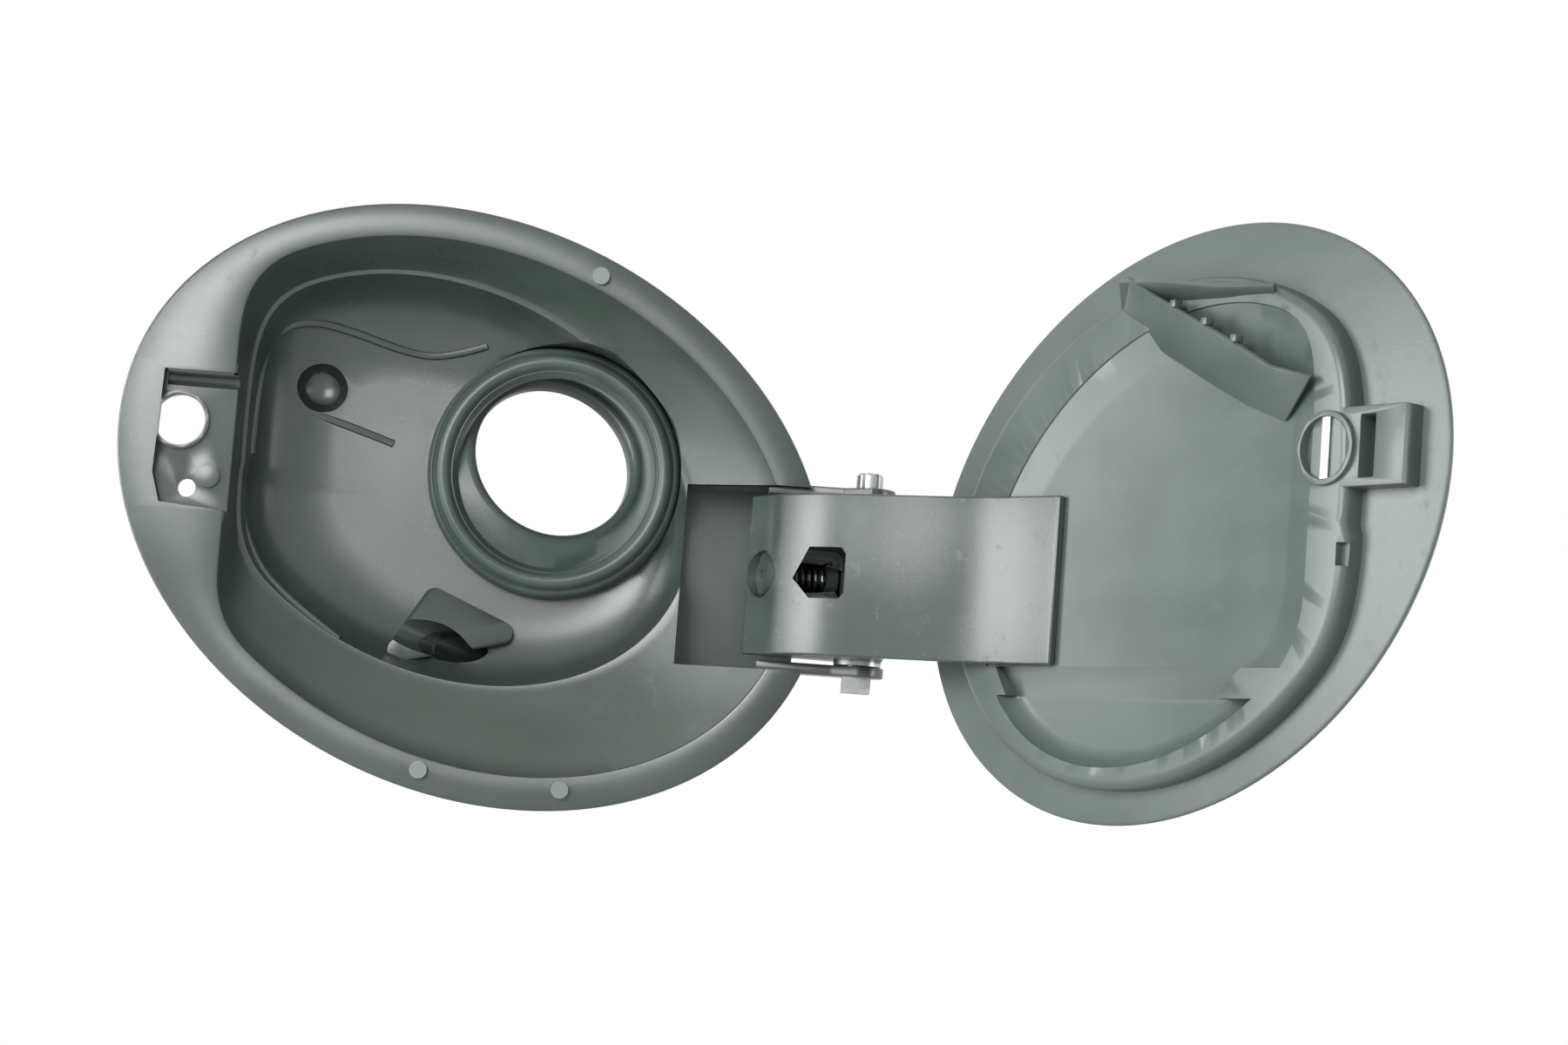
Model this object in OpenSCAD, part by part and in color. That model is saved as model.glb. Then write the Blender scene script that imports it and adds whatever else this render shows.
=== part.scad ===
// Car fuel door: moulded filler housing with an oval flange, and an oval door on a gooseneck arm.
// Frame: +X right and +Z up as seen from outside the car, +Y into the car, millimetres.
// The origin is the centre of the oval flange, on its front face. The door stands open.

/* [Flange] */
// Half length of the oval flange
flange_a = 124; // [120:0.5:130]
// Half height of the oval flange
flange_b = 95.5; // [93:0.5:100]
// Turn of the ovals, right end down, in degrees
oval_turn = 23.4; // [20:0.1:27]
// Thickness of the flange plate
flange_t = 2.6; // [2:0.1:3.4]
// Width of the flat ring between the rim and the recess
ring_w = 11.5; // [10.5:0.1:13]
// Depth of the lip that returns round the rim
lip_d = 5; // [4:0.1:7]
// Thickness of that lip
lip_t = 1.8; // [1.4:0.1:2.2]
// Wall of the moulded housing
wall = 2.5; // [2:0.1:3]

/* [Recess] */
// Distance from the rim's half length to the recess's straight left edge
left_band = 42; // [40:0.5:44]
// Rounding of the recess's upper left corner, sideways
corner_top = 20; // [14:0.5:24]
// Rounding of the recess's lower left corner, sideways
corner_low = 12; // [8:0.5:18]
// Depth of the ledge that steps round the recess
ledge_y = 18; // [15:0.5:20]
// Width of the ledge
ledge_w = 1.6; // [1:0.1:2.5]
// Depth of the bowl's floor
floor_y = 42.5; // [40:0.5:46]

/* [Filler boot] */
// Centre of the boot, to the right of the origin
boot_x = 24.7; // [22:0.1:25]
// Centre of the boot, above the origin
boot_z = 17; // [14:0.1:18]
// Radius of the sealing lip that grips the filler neck
neck_r = 28.5; // [26:0.1:30]
// Width of the boot round the filler neck
boot_band = 15.5; // [14.5:0.1:16.5]
// Lean of the filler neck, outer end up and to the right
neck_lean = 25; // [20:1:28]
// Thickness of the ring moulded into the boot's lip
lip_ring_t = 2.2; // [1.6:0.1:2.4]

/* [Drain] */
// Radius of the drain bore
drain_r = 6; // [5:0.1:6.5]
// Wall of the drain spout where the hose grips it
spout_t = 1.8; // [1.4:0.1:2.2]
// Length of the drain spout from the bowl's floor
drain_len = 46; // [42:1:50]
// Length of the spout's end that the hose slides over
hose_len = 12; // [8:0.5:14]

/* [Latch] */
// Radius of the hole for the lock actuator
latch_r = 8.6; // [8:0.1:9]
// Radius of the actuator's screw hole
screw_r = 3.1; // [2.5:0.1:3.3]
// Depth of the pocket round the latch hole
pocket_d = 5.5; // [5:0.1:6]

/* [Hinge] */
// Pin axis, past the flange's half length
pin_out = 9; // [7:0.5:11]
// Pin axis, behind the flange's face
pin_y = 6.5; // [6.2:0.1:8]
// Radius of the pin
pin_r = 4; // [3.5:0.1:4.2]
// Radial running clearance of the bushes on the pin
pin_gap = 0.05; // [0.02:0.01:0.09]
// Height of the arm's centre line
arm_z = -16; // [-17:0.5:-15]
// Width of the arm
arm_w = 53.6; // [50:0.2:56]
// Thickness of the arm's outer wall
arm_t = 2.8; // [2.2:0.1:3.2]
// Thickness of the ears that hold the pin
ear_t = 3.5; // [3:0.1:4]
// Angle from closed to the open stop
open_angle = 125.2; // [120:0.1:128]

/* [Door] */
// Step in from the flange's half length to the door's
door_in_a = 11; // [9:0.5:14]
// Step in from the flange's half height to the door's
door_in_b = 8.5; // [7:0.5:11]
// Gap between the closed door and the flange's face
door_gap = 4.5; // [4.2:0.1:5]
// Thickness of the door's edge
skin_t = 2; // [1.6:0.1:2.6]
// Crown of the door's outer face
crown = 4; // [2:0.5:6]
// Height of the inner panel's rim past the flange's face
rim_y = 3; // [2:0.1:3.4]
// Wall of the inner panel
panel_t = 2; // [1.6:0.1:2.4]

/* [Hidden] */
$fn = 64;
loft_n = 72;
eps = 0.01;
far = 200;

plastic = [0.45, 0.49, 0.48];
plastic_light = [0.53, 0.57, 0.56];
rubber = [0.36, 0.40, 0.39];
steel = [0.62, 0.64, 0.65];

// Recess outline at the flange's face
mouth_a = flange_a - ring_w;
mouth_b = flange_b - ring_w;
recess_left = flange_a - left_band;

// Levels of the bowl: depth, centre x, centre z, half length, half height, left limit
bowl = [
    [-1, 0, 0, mouth_a + 0.4, mouth_b + 0.4, -recess_left - 0.4],
    [0, 0, 0, mouth_a, mouth_b, -recess_left],
    [ledge_y, -11, 9.9, mouth_a - 22.5, mouth_b - 17, -recess_left + 0.6],
    [ledge_y + 0.5, -11, 9.9, mouth_a - 22.5 - ledge_w, mouth_b - 17 - ledge_w, -recess_left + 0.6 + ledge_w],
    [floor_y - 12, -9.5, 8.8, mouth_a - 27.5, mouth_b - 22.5, -recess_left + 4],
    [floor_y - 6, -8, 7.6, mouth_a - 33, mouth_b - 28, -recess_left + 8],
    [floor_y - 2.5, -7, 6.8, mouth_a - 40, mouth_b - 35, -recess_left + 14],
    [floor_y - 0.6, -6.4, 6.2, mouth_a - 47, mouth_b - 42, -recess_left + 21],
    [floor_y, -6, 6, mouth_a - 54, mouth_b - 49, -recess_left + 28]
];

// Boot seat, and the ring in the boot's lip
boot_r = neck_r + boot_band;
seat_gap = 0.3;
seat_hole_r = boot_r - 7;
neck_axis = [sin(neck_lean) * sqrt(0.5), -cos(neck_lean), sin(neck_lean) * sqrt(0.5)];
neck_at = [boot_x - 1.7, floor_y + 11.5, boot_z + 5.4];
lip_h = 6;
lip_edge = 0.5;
lip_r = neck_r + lip_ring_t;
skin_r = lip_r + 1.7;
boot_n = 96;
boot_section = [[boot_r, floor_y, 0], [boot_r, floor_y - 4, 0], [boot_r - 1, floor_y - 7.5, 0],
    [boot_r - 3, floor_y - 9.6, 0], [boot_r - 5.5, floor_y - 10, 0], [boot_r - 8, floor_y - 9, 0],
    [boot_r - 9.8, floor_y - 6.4, 0], [boot_r - 10.6, floor_y - 3, 0], [lip_r + 1, lip_h / 2, 1],
    [lip_r + eps, lip_h / 2, 1], [lip_r + eps, -lip_h / 2, 1], [skin_r - 0.4, -lip_h / 2, 1], [skin_r, 0, 1],
    [seat_hole_r - 1, floor_y - 1.2, 0], [seat_hole_r - 0.4, floor_y, 0]];

// Hinge well and ears
pin_x = flange_a + pin_out;
bush_flange = 1.2;
side_gap = 0.3;
ear_lo = arm_z - arm_w / 2 - bush_flange - side_gap;
ear_hi = arm_z + arm_w / 2 + bush_flange + side_gap;
well_lo = ear_lo - ear_t + 0.3;
well_hi = ear_hi + ear_t - 1.3;
well_x = boot_x + boot_r + seat_gap + wall;
well_left = boot_x + boot_r - 1;
well_y = floor_y - 2.5;
sweep_r = 42.5;
cheek_x = pin_x - 21;
ear_r = 13;
ear_front = 0.4;
ear_root = pin_x - 34;

// Latch plate
latch_x = -recess_left - 18.3;
latch_z = 21.5;
screw_x = -recess_left - 14.1;
screw_z = -1.2;
boss_x = -recess_left - 7.2;
boss_z = 3.2;
pocket_l = -recess_left - 25;
pocket_lo = -9;
pocket_hi = 38;
plate_l = pocket_l - 3.5;
plate_edge = 3;
plate_t = flange_t + pocket_d;
groove_r = 2.2;

// Drain: its mouth, and its turn to the right and down from straight back
drain_at = [-7.4, floor_y - 5, -45.5];
drain_swing = 58;
drain_dip = 14;
hose_r = drain_r + spout_t;
spout_r = hose_r + 0.9;
spout_taper = 0.9;
tip_taper = 0.8;
pad_corners = [[-13, floor_y - 2, -30], [11, floor_y - 3.5, -40], [-23, floor_y - 11.5, -49]];
pad_r = 4;
pad_t = 6;

// Finger dimple in the floor
dimple_x = -57.3;
dimple_z = 40.3;
dimple_r = 10;
dimple_d = 3.5;

// Bump stops: angles round the oval
stop_in = 7;
stop_top_t = 89;
stop_bottom_t = -52.7;
stop_left_t = -77;
stop_r = 2.9;
stop_h = 2.4;
stem_r = 1.5;

// Seal behind the flange
seal_in = 2;
seal_w = 2.8;
seal_t = 5;
seal_gap = 0.5;

// Arm, measured from the pin with the door closed: outer line from the foot to the end
arm_line = [[-91.5, -4.1], [-73.5, -0.9], [-55.8, 5], [-27.6, 20.7], [-11.5, 28.9], [4, 32.6], [13, 32.6], [22.3, 32.6]];
arm_steps = 6;
barrel_r = 8;
bush_r = 6;
bush_len = 12;
web_t = 2.4;
plug_at = [13.2, 32.6];
plug_turn = atan2(plug_at[1], plug_at[0]);
plug_dist = norm(plug_at);
plug_len = 5.1;
plug_rim = 0.9;
tunnel_r = 5.2;
tunnel_wall = 1.8;
block_h = 11;
flat_r = pin_r - 0.8;
tip_at = pin_r + 0.15;
shoulder_at = pin_r + 6;

// Door: depth of its back, tray and pocket
door_a = flange_a - door_in_a;
door_b = flange_b - door_in_b;
skin_y = -door_gap;
tray_y = -0.5;
pocket_y = -2.2;
panel = [0.6, -3, door_a - 20, door_b - 12, -door_a + 33.5];
tray = [-5, -4.3, door_a - 27, door_b - 23, -door_a + 47.5];
tray_turn = 31.6;
tray_lo = -43.5;
pocket_top = -50.5;
notch = [7, 5, 7];
notch_z = -16;

// Latch catch
ring_x = -door_a + 42.5;
ring_z = 19.5;
ring_r = 10.8;
ring_t = 1.8;
ring_h = 1.5;
hook_l = -door_a + 14;
hook_h = 23;
hook_d = 7.2;
hook_wall = 2.5;
hook_slot = 5.5;
clip_w = 3;
clip_t = 0.8;

// Outline extruded from depth y0 back to y1
module slab(y0, y1) translate([0, y1, 0]) rotate([90, 0, 0]) linear_extrude(y1 - y0) children();

// Round bar along Y
module bar(r, y0, y1, x, z) translate([x, y1, z]) rotate([90, 0, 0]) cylinder(r = r, h = y1 - y0);

// Box between two corners
module box(low, high) translate(low) cube(high - low);

// Oval in the front view
module oval(a, b) rotate(-oval_turn) scale([a, b]) circle(r = 1, $fn = 96);

// Front-view position of a point at angle t round an oval
function oval_point(a, b, t, turn = oval_turn) = [
    a * cos(t) * cos(turn) + b * sin(t) * sin(turn),
    b * sin(t) * cos(turn) - a * cos(t) * sin(turn)];

// Oval of straight sides, for a ring with flat faces
module sided_oval(a, b) polygon([for (i = [0 : 119]) oval_point(a, b, 3 * i)]);

// Position x kept right of a straight limit, with a rounding that reaches k to each side
function limited(x, left, k) = let (d = x - left) d > k ? x : d < -k ? left : left + (d + k) * (d + k) / (4 * k);

// Points of one level of a loft; a seventh value is the oval's own turn
function level_points(l) = [for (i = [0 : loft_n - 1])
    let (p = oval_point(l[3], l[4], 360 * i / loft_n, len(l) > 6 ? l[6] : oval_turn))
    [limited(l[1] + p[0], l[5], p[1] > 0 ? corner_top : corner_low), l[0], l[2] + p[1]]];

// Closed skin through the levels, front to back
module loft(levels) {
    n = loft_n;
    last = len(levels) - 1;
    points = [for (l = levels) each level_points(l)];
    sides = [for (k = [0 : last - 1], i = [0 : n - 1])
        let (j = (i + 1) % n, a = k * n, b = a + n)
        each [[a + i, a + j, b + j], [a + i, b + j, b + i]]];
    front = [for (i = [n - 1 : -1 : 0]) i];
    back = [for (i = [0 : n - 1]) last * n + i];
    polyhedron(points, concat([front, back], sides));
}

// The same levels grown by g sideways and back
function grown(levels, g) = [for (l = levels) [l[0] + g, l[1], l[2], l[3] + g, l[4] + g, l[5] - g]];

// Smooth line through points
function smooth(p, steps) = concat([for (i = [0 : len(p) - 2], s = [0 : steps - 1])
    let (a = p[max(i - 1, 0)], b = p[i], c = p[i + 1], d = p[min(i + 2, len(p) - 1)], t = s / steps)
    b + t * (c - a) / 2 + t * t * (a - 2.5 * b + 2 * c - d / 2) + t * t * t * (1.5 * (b - c) + (d - a) / 2)],
    [p[len(p) - 1]]);

// Line moved sideways by t, to the right of its direction
function beside(p, t) = [for (i = [0 : len(p) - 1])
    let (d = p[min(i + 1, len(p) - 1)] - p[max(i - 1, 0)], n = [d[1], -d[0]] / norm(d))
    p[i] + t * n];

// Turns what is drawn with the door closed to the open stop
module opened() translate([pin_x, pin_y, 0]) rotate(open_angle) translate([-pin_x, -pin_y, 0]) children();

// Places children on the pin axis
module at_pin(z) translate([pin_x, pin_y, z]) children();

// Housing: the spaces that its four parts share

module boot_space() {
    bar(boot_r + seat_gap, ledge_y - 2, floor_y, boot_x, boot_z);
    bar(seat_hole_r, floor_y - 1, floor_y + wall + 1, boot_x, boot_z);
}

// Outline of the hinge well from above
module well_outline(grow) {
    left = grow > 0 ? well_left : well_x;
    translate([left, -3]) square([pin_x - left, well_y + 3 + grow]);
    translate([pin_x, pin_y]) circle(r = sweep_r + grow);
}

module well_outside(front) intersection() {
    translate([0, 0, well_lo - wall]) linear_extrude(well_hi - well_lo + 2 * wall) well_outline(wall);
    box([well_left, front, well_lo - wall - 1], [cheek_x, far, well_hi + wall + 1]);
}

module well_inside() {
    translate([0, 0, well_lo]) linear_extrude(well_hi - well_lo) difference() {
        well_outline(0);
        translate([pin_x, -far]) square([far, far - 1]);
    }
    box([pin_x - 30, -2, well_lo], [pin_x + 30, lip_d + 2, well_hi]);
}

// Space of the arm and the ears through the flange
module ear_slot() box([ear_root, -2, ear_lo - ear_t], [far, lip_d + 2, ear_hi + ear_t]);

module latch_block(front = 0, reach = 0) slab(front, plate_t) intersection() {
    oval(mouth_a + 6, mouth_b + 6);
    translate([plate_l, pocket_lo - plate_edge])
        square([reach - recess_left - plate_l, pocket_hi - pocket_lo + 2 * plate_edge]);
}

// Space of that block in the flange and the bowl, past the recess's wall
module latch_space() latch_block(-1, 1.5);

module stop_at(t) let (p = oval_point(flange_a - stop_in, flange_b - stop_in, t)) translate([p[0], 0, p[1]]) children();

// Direction of the drain: back, to the right and down
module along_drain() translate(drain_at) rotate([-drain_dip, 0, -drain_swing]) rotate([-90, 0, 0]) children();

// Thicker root of the spout, which tapers to the hose's end
module spout() {
    translate([0, 0, -4]) cylinder(r = spout_r, h = drain_len - hose_len + 4);
    translate([0, 0, drain_len - hose_len - eps]) cylinder(r1 = spout_r, r2 = hose_r, h = spout_taper + eps);
}

// End that the hose slides over, with a tapered tip
module hose_end() {
    translate([0, 0, -4]) cylinder(r = hose_r, h = drain_len - tip_taper + 4);
    translate([0, 0, drain_len - tip_taper - eps])
        cylinder(r1 = hose_r, r2 = hose_r - tip_taper, h = tip_taper + eps);
}

// Raised pad round the drain's mouth, through three corners
module drain_pad() hull() for (p = pad_corners) bar(pad_r, p[1], p[1] + pad_t, p[0], p[2]);

module dimple(grow) translate([dimple_x, floor_y - dimple_r + dimple_d, dimple_z]) sphere(r = dimple_r + grow);

// Bowl of the housing, with the boot's seat, the drain and the finger dimple
module housing_shell() color(plastic) difference() {
    union() {
        difference() {
            union() {
                loft(concat([[0, 0, 0, mouth_a + wall, mouth_b + wall, -recess_left - wall]],
                    grown([for (i = [1 : len(bowl) - 1]) bowl[i]], wall)));
                bar(boot_r + seat_gap + wall, ledge_y + 4, floor_y + wall, boot_x, boot_z);
                dimple(wall);
                along_drain() spout();
            }
            loft(bowl);
            boot_space();
        }
        drain_pad();
        along_drain() hose_end();
    }
    dimple(0);
    along_drain() translate([0, 0, -16]) cylinder(r = drain_r, h = drain_len + 20);
    box([-far, -far, -far], [far, flange_t, far]);
    well_outside(-2);
    latch_space();
}

// Flat oval ring with its return lip
module housing_flange() color(plastic) difference() {
    union() {
        slab(0, flange_t) oval(flange_a, flange_b);
        difference() {
            slab(eps, lip_d) oval(flange_a, flange_b);
            slab(-1, lip_d + 1) oval(flange_a - lip_t, flange_b - lip_t);
        }
    }
    loft(bowl);
    well_outside(flange_t);
    well_inside();
    ear_slot();
    latch_space();
    for (t = [stop_top_t, stop_bottom_t, stop_left_t]) stop_at(t) bar(stem_r + 0.1, -1, flange_t + 1, 0, 0);
}

// Plate with the latch pocket, which opens into the recess, its groove, collar and boss
module latch_plate() color(plastic) difference() {
    union() {
        difference() {
            latch_block();
            slab(-1, pocket_d) polygon([[pocket_l + 1, pocket_hi], [-recess_left + 1, pocket_hi],
                [-recess_left + 1, pocket_lo], [pocket_l + 3, pocket_lo + 2], [pocket_l, pocket_lo + 12]]);
            translate([pocket_l + 1.5, pocket_d, pocket_hi - groove_r - 0.5]) rotate([0, 90, 0])
                cylinder(r = groove_r, h = far);
        }
        bar(latch_r + 1.4, pocket_d - 1.6, pocket_d + 1, latch_x, latch_z);
        bar(4, pocket_d - 1.5, pocket_d + 1, boss_x, boss_z);
    }
    bar(latch_r, -1, plate_t + 1, latch_x, latch_z);
    bar(screw_r, -1, plate_t + 1, screw_x, screw_z);
}

module ear(z) difference() {
    translate([0, 0, z]) linear_extrude(ear_t) difference() {
        union() {
            translate([pin_x, pin_y]) circle(r = ear_r);
            translate([ear_root, ear_front]) square([pin_x - ear_root, pin_y + ear_r - ear_front]);
        }
        translate([ear_root - 1, ear_front - 30]) square([90, 30]);
    }
    at_pin(z - 1) cylinder(r = pin_r + pin_gap, h = ear_t + 2);
}

// Well behind the arm, with the two ears that carry the pin
module hinge_bracket() color(plastic) {
    difference() {
        well_outside(flange_t);
        well_inside();
        loft(bowl);
        boot_space();
    }
    ear(ear_lo - ear_t);
    ear(ear_hi);
}

// Filler boot

// A direction turned with the neck's lean, by the share s of it
function leaned(v, s) = let (k = [1, 0, -1] / sqrt(2), a = -neck_lean * s)
    v * cos(a) + cross(k, v) * sin(a) + k * (k * v) * (1 - cos(a));

// One ring of the boot: radius, depth on the seat or height on the lip, and 0 for the seat or 1 for the lip
function boot_ring(p) = [for (i = [0 : boot_n - 1])
    let (t = 360 * i / boot_n, c = p[2] == 0 ? [boot_x, p[1], boot_z] : neck_at + neck_axis * p[1])
    c + p[0] * leaned([cos(t), 0, sin(t)], p[2])];

module filler_boot() color(rubber) {
    m = len(boot_section);
    points = [for (p = boot_section) each boot_ring(p)];
    sides = [for (k = [0 : m - 1], i = [0 : boot_n - 1])
        let (j = (i + 1) % boot_n, a = k * boot_n, b = ((k + 1) % m) * boot_n)
        each [[a + i, b + j, a + j], [a + i, b + i, b + j]]];
    polyhedron(points, sides);
}

// Ring in the boot's lip that grips the neck
module neck_lip() color(rubber) translate(neck_at) rotate(a = -neck_lean, v = [1, 0, -1]) rotate([90, 0, 0])
    rotate_extrude($fn = 96) translate([0, -lip_h / 2]) polygon([[lip_r - eps, 0], [neck_r + lip_edge, 0],
        [neck_r, lip_edge], [neck_r, lip_h - lip_edge], [neck_r + lip_edge, lip_h], [lip_r - eps, lip_h]]);

module boot_retainer() color(steel) difference() {
    bar(boot_r - 2, floor_y + wall, floor_y + wall + 1.2, boot_x, boot_z);
    bar(seat_hole_r + 0.3, floor_y + wall - 1, floor_y + wall + 2.2, boot_x, boot_z);
}

// Seals and stops

module flange_seal() color(rubber) difference() {
    slab(flange_t, flange_t + seal_t) difference() {
        sided_oval(flange_a - seal_in, flange_b - seal_in);
        sided_oval(flange_a - seal_in - seal_w, flange_b - seal_in - seal_w);
    }
    box([0, 0, well_lo - wall - seal_gap], [far, flange_t + seal_t + 1, well_hi + wall + seal_gap]);
}

module bump_stop(t) color(rubber) stop_at(t) {
    bar(stop_r, -stop_h, 0, 0, 0);
    bar(stem_r, -eps, flange_t + 0.1, 0, 0);
    bar(stem_r + 0.35, flange_t, flange_t + 1.6, 0, 0);
}

module bump_stop_top() bump_stop(stop_top_t);
module bump_stop_bottom() bump_stop(stop_bottom_t);
module bump_stop_left() bump_stop(stop_left_t);

// Hinge pin: square head below, flats for the detent, split crown above

module hinge_pin() color(steel) difference() {
    union() {
        at_pin(ear_lo - ear_t - 5.4) linear_extrude(5.4) square(9.4, center = true);
        at_pin(ear_lo - ear_t - 1) cylinder(r = pin_r, h = ear_hi - ear_lo + 2 * ear_t + 2);
        at_pin(ear_hi + ear_t) cylinder(r = pin_r + 0.5, h = 4.6);
        at_pin(ear_hi + ear_t + 4.6 - eps) cylinder(r1 = pin_r + 0.5, r2 = pin_r - 0.4, h = 0.9);
    }
    for (a = [0, -open_angle])
        at_pin(arm_z) rotate(open_angle + plug_turn + a) translate([flat_r, -10, -6]) cube([10, 20, 12]);
    at_pin(ear_hi - 2) cylinder(r = 1.8, h = 30);
    for (a = [0, 60, 120])
        at_pin(ear_hi + ear_t) rotate(a) translate([-10, -0.65, 0]) cube([20, 1.3, 10]);
}

// Door

// Levels of the door's crowned face, from the edge out
function dome(drop, inset) = [for (k = [1, 0.985, 0.93, 0.8, 0.6, 0.35])
    [skin_y - skin_t - crown * (1 - k * k) + drop, 0, 0, door_a * k - inset, door_b * k - inset, -far]];

module door_skin() color(plastic_light) opened() difference() {
    loft(concat([for (i = [5 : -1 : 0]) dome(0, 0)[i]], [[skin_y, 0, 0, door_a, door_b, -far]]));
    loft(concat([for (i = [5 : -1 : 2]) dome(skin_t, 3)[i]], [[skin_y + 1, 0, 0, panel[2] - 6, panel[3] - 6, -far]]));
}

function panel_level(y, inset) = [y, panel[0], panel[1], panel[2] - inset, panel[3] - inset, panel[4] + inset];
function tray_level(y, inset) = [y, tray[0], tray[1], tray[2] - inset, tray[3] - inset, tray[4] + inset, tray_turn];

module panel_form() difference() {
    loft([panel_level(skin_y, -0.6), panel_level(rim_y - 2.4, 0), panel_level(rim_y - 0.8, 1), panel_level(rim_y, 3.4)]);
    intersection() {
        loft([tray_level(tray_y, 9), tray_level(tray_y + 1, 6), tray_level(rim_y - 1, 1.5), tray_level(rim_y + 1, 0)]);
        box([-far, -20, tray_lo], [far, 20, far]);
    }
    intersection() {
        loft([tray_level(pocket_y, 8), tray_level(pocket_y + 1.5, 5), tray_level(rim_y - 1, 1.5), tray_level(rim_y + 1, 0)]);
        box([-far, -20, -far], [far, 20, pocket_top]);
    }
    slab(pocket_y, rim_y + 1) polygon([[tray[0] - 33, tray_lo - 0.1], [tray[0] + 69, tray_lo - 0.1],
        [tray[0] + 74, pocket_top - 0.5], [tray[0] - 26, pocket_top - 0.5]]);
    loft([[skin_y - 1, 0, -2, panel[2] - 23, panel[3] - 25, panel[4] + 17.5],
        [tray_y - panel_t, 0, -2, panel[2] - 25, panel[3] - 27, panel[4] + 19.5]]);
    translate([panel[4] - 3, rim_y - 2.6, notch_z]) cube(notch);
}

module inner_panel() color(plastic_light) opened() difference() {
    panel_form();
    arm_seat();
}

// Cap holder: wall from base points to top points, each x, y, z
module ribbon(base, top, t) {
    n = len(base);
    d = [0, 0, t];
    points = [for (p = base) p, for (p = top) p, for (p = top) p + d, for (p = base) p + d];
    sides = [for (r = [0 : 3], i = [0 : n - 2])
        let (a = r * n, b = ((r + 1) % 4) * n)
        each [[a + i, b + i + 1, a + i + 1], [a + i, b + i, b + i + 1]]];
    polyhedron(points, concat(sides, [[3 * n, 2 * n, n, 0], [n - 1, 2 * n - 1, 3 * n - 1, 4 * n - 1]]));
}

holder_base = [[21, -1, 64.9], [12.7, -1, 60.1], [-2.1, -1, 51.8], [-18.4, -1, 43], [-34.9, -1, 35.3]];
holder_top = [[13.5, 9, 74.6], [6, 8.8, 68.4], [-8.5, 8.6, 61.5], [-26, 8.4, 56], [-47.9, 8, 43.4]];
fold_base = [[-34.9, -1, 35.3], [-52, -1, 29]];
fold_top = [[-47.9, 8, 43.4], [-65.5, 6, 38.8]];
back_base = [[19, 1, 66.5], [-4, 1, 67.6], [-27, 1, 66.6], [-46, 1, 65.6]];
back_top = [[13.5, 9, 74.6], [-5.6, 8.5, 72.8], [-27.8, 7.5, 69.5], [-47.6, 4.4, 68.4]];

module cap_holder() color(plastic_light) opened() difference() {
    union() {
        ribbon(holder_base, holder_top, 1.8);
        ribbon(fold_base, fold_top, 1.8);
        ribbon(back_base, back_top, 1.6);
    }
    panel_form();
}

// Latch catch: ring with a hook box beside it

module latch_catch() color(plastic_light) opened() difference() {
    union() {
        bar(ring_r, -1, rim_y + ring_h, ring_x, ring_z);
        box([hook_l, skin_y, ring_z - hook_h / 2], [ring_x, skin_y + hook_d, ring_z + hook_h / 2]);
    }
    bar(ring_r - ring_t, -2, rim_y + 3, ring_x, ring_z);
    box([hook_l + 11, skin_y - 1, ring_z - hook_h / 2 + hook_wall],
        [hook_l + 11 + hook_slot, far, ring_z + hook_h / 2 - hook_wall]);
    box([hook_l + 2, skin_y - 1, ring_z - hook_h / 2 + hook_wall],
        [hook_l + 9, skin_y + hook_slot - 1, ring_z + hook_h / 2 - hook_wall]);
    panel_form();
}

// Steel strip across the ring, which the hook of the actuator rides on
module catch_clip() color(steel) opened() intersection() {
    bar(ring_r - ring_t, rim_y, rim_y + clip_t, ring_x, ring_z);
    box([ring_x - clip_w / 2, -far, -far], [ring_x + clip_w / 2, far, far]);
}

// Gooseneck arm, drawn closed

arm_outer = [for (p = smooth(arm_line, arm_steps)) p + [pin_x, pin_y]];
arm_inner = beside(arm_outer, arm_t);
web_from = 3 * arm_steps - 2;
foot_to = arm_steps + 3;
foot_in = 4;

module arm_section() polygon(concat(arm_outer, [for (i = [len(arm_inner) - 1 : -1 : 0]) arm_inner[i]]));

module web_section() polygon(concat([for (i = [web_from : len(arm_inner) - 2]) arm_inner[i] + [0, 0.5]],
    [[pin_x + 7.6, pin_y + 2], [pin_x - 5, pin_y - 6]]));

module foot_section() polygon(concat([for (i = [0 : foot_to]) arm_inner[i] + [0, 0.5]],
    [[arm_inner[foot_to][0], tray_y], [arm_inner[0][0], tray_y]]));

// Seat of the arm in the inner panel
module arm_seat() {
    translate([0, 0, arm_z - arm_w / 2 + foot_in - side_gap]) linear_extrude(arm_w - 2 * foot_in + 2 * side_gap)
        polygon([[arm_inner[0][0] - side_gap, tray_y], [arm_inner[foot_to][0] + side_gap, tray_y],
            [arm_inner[foot_to][0] + side_gap, rim_y + 9], [arm_inner[0][0] - side_gap, rim_y + 9]]);
    translate([0, 0, arm_z - arm_w / 2 - side_gap]) linear_extrude(arm_w + 2 * side_gap)
        polygon(concat([for (i = [0 : foot_to + 3]) arm_inner[i] - [0, side_gap]],
            [[arm_inner[foot_to + 3][0], rim_y + 20], [arm_inner[0][0], rim_y + 20]]));
}

// Along the plunger, from the pin out through the plug, closed
module along_plunger(r) translate([pin_x, pin_y, arm_z]) rotate(plug_turn) translate([r, 0, 0]) rotate([0, 90, 0]) children();

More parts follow.
